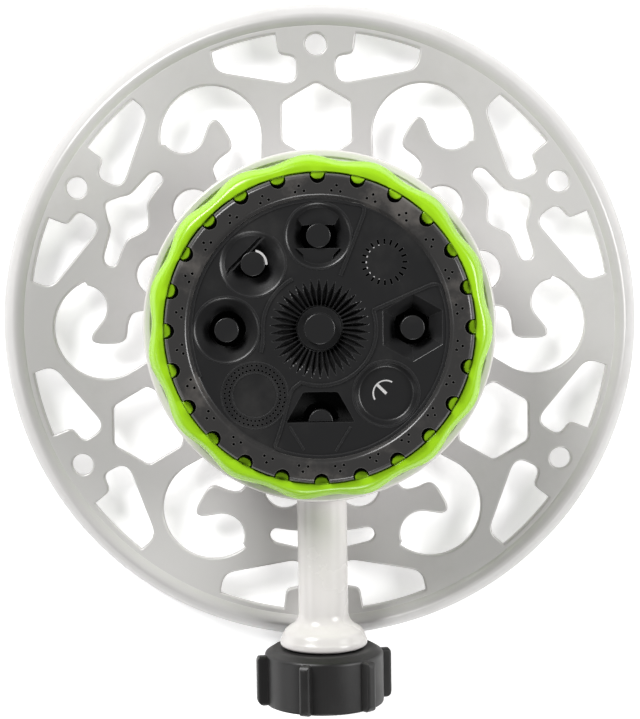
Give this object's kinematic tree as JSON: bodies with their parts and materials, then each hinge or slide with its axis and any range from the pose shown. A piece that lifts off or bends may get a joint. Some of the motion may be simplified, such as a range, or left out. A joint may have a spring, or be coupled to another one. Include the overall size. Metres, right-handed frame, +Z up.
{
  "type": "turret sprinkler",
  "caption": "Garden turret sprinkler: a lime-gripped nozzle dial turns on a grey housing over a round openwork cast base, fed by a side tube with a winged hose nut.",
  "frame": {"origin": "middle of the whole sprinkler's footprint (base ring and hose nut together) on the ground plane", "axes": "+Z up; water comes in along the tube at -Y; +X to the right when the nut points to the viewer"},
  "size_m": [0.2, 0.2154, 0.054],
  "materials": {
    "silver_paint": "satin silver-grey paint on cast metal",
    "grey_plastic": "semi-gloss light grey plastic",
    "lime_plastic": "semi-gloss lime green plastic",
    "black_plastic": "satin black plastic",
    "nut_plastic": "matte black plastic",
    "rubber": "matte black rubber",
    "steel": "stainless steel"
  },
  "bodies": {
    "base": {"base_plate": "silver_paint", "turret_housing": "grey_plastic", "inlet_tube": "grey_plastic", "pivot_screw": "steel", "pivot_washer": "steel", "port_spring": "steel", "detent_spring": "steel", "base_screw_1": "steel", "base_screw_2": "steel", "base_screw_3": "steel"},
    "dial": {"dial_plate": "black_plastic", "dial_body": "black_plastic", "dial_gasket": "rubber", "grip_ring": "lime_plastic", "centre_cap": "black_plastic", "dial_screw_1": "steel", "dial_screw_2": "steel", "dial_screw_3": "steel", "dial_screw_4": "steel"},
    "nut": {"hose_nut": "nut_plastic", "hose_washer": "rubber"},
    "seal": {"port_seal": "rubber"},
    "plunger": {"detent_plunger": "black_plastic"}
  },
  "joints": [
    {"name": "dial_turn", "type": "hinge", "parent": "base", "child": "dial", "pos_m": [0, 0.00775, 0.036], "axis": [0, 0, 1], "continuous": true},
    {"name": "nut_spin", "type": "hinge", "parent": "base", "child": "nut", "pos_m": [0, -0.1, 0.0235], "axis": [0, -1, 0], "continuous": true},
    {"name": "seal_press", "type": "slide", "parent": "base", "child": "seal", "axis": [0, 0, 1], "range_m": [-0.0008, 0], "stiffness_N_per_m": 800, "springref_m": 0.001, "deforming": ["port_spring"]},
    {"name": "plunger_slide", "type": "slide", "parent": "base", "child": "plunger", "axis": [0, 0, 1], "range_m": [0, 0.001], "stiffness_N_per_m": 600, "springref_m": 0.002, "deforming": ["detent_spring"]}
  ]
}
